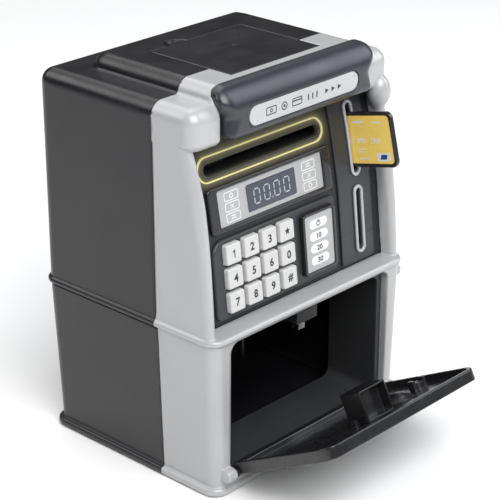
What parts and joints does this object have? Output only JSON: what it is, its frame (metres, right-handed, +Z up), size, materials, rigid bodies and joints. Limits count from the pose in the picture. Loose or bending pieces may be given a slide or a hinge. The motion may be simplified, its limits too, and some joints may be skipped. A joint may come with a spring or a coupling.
{
  "type": "toy cash machine savings bank",
  "caption": "Toy cash machine money bank: sprung keypad, banknote, coin and card slots in a light front frame, over a cash box with a fold-down door.",
  "frame": {"origin": "centre of the footprint of the base, on the surface it stands on", "axes": "+Z up, +X to the object's right seen from the front, +Y to its back; the keypad and door face -Y"},
  "size_m": [0.144, 0.1814, 0.2021],
  "materials": {
    "dark_shell": "satin",
    "light_frame": "satin",
    "dark_panel": "satin",
    "door_plastic": "satin",
    "visor_gloss": "gloss",
    "silver_trim": "satin",
    "ring_glow": "glowing",
    "screen": "gloss",
    "key_cap": "satin",
    "rubber_dark": "matte",
    "board_green": "satin",
    "steel": "brushed",
    "spring_steel": "polished",
    "cell_jacket": "gloss",
    "gear_plastic": "satin",
    "brass": "machined",
    "card_frame": "gloss",
    "card_gold": "gloss",
    "speaker_black": "matte"
  },
  "bodies": {
    "housing": {"upper_shell": "dark_shell", "front_frame": "light_frame", "lower_shell": "dark_shell", "lower_frame": "light_frame", "vault_liner": "dark_panel", "base_plate": "dark_shell", "feet": "rubber_dark", "base_screws": "steel", "mechanism_floor": "dark_panel", "floor_screws": "steel", "fascia": "dark_panel", "bay_panel": "dark_panel", "light_ring": "ring_glow", "ring_leds": "board_green", "display_bezel": "dark_panel", "display_label": "silver_trim", "display_screen": "screen", "keypad_plate": "dark_panel", "amount_block": "dark_panel", "amount_label": "silver_trim", "key_membrane": "rubber_dark", "main_board": "board_green", "card_slot_bezel": "silver_trim", "coin_slot_bezel": "silver_trim", "card_guide": "dark_panel", "coin_chute": "dark_panel", "note_chute": "dark_panel", "feed_motor": "steel", "visor": "visor_gloss", "visor_label": "silver_trim", "battery_box": "dark_panel", "battery_contacts": "spring_steel", "battery_1": "cell_jacket", "battery_2": "cell_jacket", "battery_3": "cell_jacket", "lock_housing": "dark_panel", "hinge_pins": "steel", "speaker": "speaker_black"},
    "door_leaf": {"door": "door_plastic", "latch_box": "door_plastic"},
    "battery_cover": {"battery_lid": "dark_shell"},
    "card": {"toy_card": "card_frame", "card_face": "card_gold"},
    "bolt": {"lock_bolt": "steel"},
    "feed_shaft": {"feed_roller": "rubber_dark", "feed_gear": "gear_plastic"},
    "pinch_shaft": {"pinch_roller": "rubber_dark"},
    "motor_shaft": {"motor_pinion": "brass"},
    "key_1": {"key_1": "key_cap"},
    "key_2": {"key_2": "key_cap"},
    "key_3": {"key_3": "key_cap"},
    "key_4": {"key_4": "key_cap"},
    "key_5": {"key_5": "key_cap"},
    "key_6": {"key_6": "key_cap"},
    "key_7": {"key_7": "key_cap"},
    "key_8": {"key_8": "key_cap"},
    "key_9": {"key_9": "key_cap"},
    "key_0": {"key_0": "key_cap"},
    "key_star": {"key_star": "key_cap"},
    "key_hash": {"key_hash": "key_cap"}
  },
  "joints": [
    {"name": "door_hinge", "type": "hinge", "parent": "housing", "child": "door_leaf", "pos_m": [0, -0.0605, 0.0115], "axis": [-1, 0, 0], "range_deg": [0, 62.5]},
    {"name": "battery_cover_tilt", "type": "hinge", "parent": "housing", "child": "battery_cover", "pos_m": [0, -0.0332, 0.2], "axis": [1, 0, 0], "range_deg": [0, 85]},
    {"name": "card_slide", "type": "slide", "parent": "housing", "child": "card", "axis": [0, 0.9724, -0.2334], "range_m": [-0.01, 0.018]},
    {"name": "bolt_slide", "type": "slide", "parent": "housing", "child": "bolt", "axis": [0, 0, -1], "range_m": [0, 0.0075], "stiffness_N_per_m": 20, "springref_m": -0.003},
    {"name": "feed_spin", "type": "hinge", "parent": "housing", "child": "feed_shaft", "pos_m": [0, -0.022, 0.1538], "axis": [1, 0, 0], "continuous": true},
    {"name": "pinch_spin", "type": "hinge", "parent": "housing", "child": "pinch_shaft", "pos_m": [0, -0.022, 0.1644], "axis": [1, 0, 0], "continuous": true},
    {"name": "motor_spin", "type": "hinge", "parent": "housing", "child": "motor_shaft", "pos_m": [0, -0.022, 0.1393], "axis": [1, 0, 0], "continuous": true},
    {"name": "key_1_press", "type": "slide", "parent": "housing", "child": "key_1", "axis": [0, 0.9946, -0.1041], "range_m": [0, 0.0012], "stiffness_N_per_m": 200, "springref_m": -0.0005},
    {"name": "key_2_press", "type": "slide", "parent": "housing", "child": "key_2", "axis": [0, 0.9946, -0.1041], "range_m": [0, 0.0012], "stiffness_N_per_m": 200, "springref_m": -0.0005},
    {"name": "key_3_press", "type": "slide", "parent": "housing", "child": "key_3", "axis": [0, 0.9946, -0.1041], "range_m": [0, 0.0012], "stiffness_N_per_m": 200, "springref_m": -0.0005},
    {"name": "key_4_press", "type": "slide", "parent": "housing", "child": "key_4", "axis": [0, 0.9946, -0.1041], "range_m": [0, 0.0012], "stiffness_N_per_m": 200, "springref_m": -0.0005},
    {"name": "key_5_press", "type": "slide", "parent": "housing", "child": "key_5", "axis": [0, 0.9946, -0.1041], "range_m": [0, 0.0012], "stiffness_N_per_m": 200, "springref_m": -0.0005},
    {"name": "key_6_press", "type": "slide", "parent": "housing", "child": "key_6", "axis": [0, 0.9946, -0.1041], "range_m": [0, 0.0012], "stiffness_N_per_m": 200, "springref_m": -0.0005},
    {"name": "key_7_press", "type": "slide", "parent": "housing", "child": "key_7", "axis": [0, 0.9946, -0.1041], "range_m": [0, 0.0012], "stiffness_N_per_m": 200, "springref_m": -0.0005},
    {"name": "key_8_press", "type": "slide", "parent": "housing", "child": "key_8", "axis": [0, 0.9946, -0.1041], "range_m": [0, 0.0012], "stiffness_N_per_m": 200, "springref_m": -0.0005},
    {"name": "key_9_press", "type": "slide", "parent": "housing", "child": "key_9", "axis": [0, 0.9946, -0.1041], "range_m": [0, 0.0012], "stiffness_N_per_m": 200, "springref_m": -0.0005},
    {"name": "key_0_press", "type": "slide", "parent": "housing", "child": "key_0", "axis": [0, 0.9946, -0.1041], "range_m": [0, 0.0012], "stiffness_N_per_m": 200, "springref_m": -0.0005},
    {"name": "key_star_press", "type": "slide", "parent": "housing", "child": "key_star", "axis": [0, 0.9946, -0.1041], "range_m": [0, 0.0012], "stiffness_N_per_m": 200, "springref_m": -0.0005},
    {"name": "key_hash_press", "type": "slide", "parent": "housing", "child": "key_hash", "axis": [0, 0.9946, -0.1041], "range_m": [0, 0.0012], "stiffness_N_per_m": 200, "springref_m": -0.0005}
  ],
  "couplings": [
    {"joint": "pinch_spin", "follows": "feed_spin", "ratio": -1.4286},
    {"joint": "motor_spin", "follows": "feed_spin", "ratio": -2.2222}
  ]
}
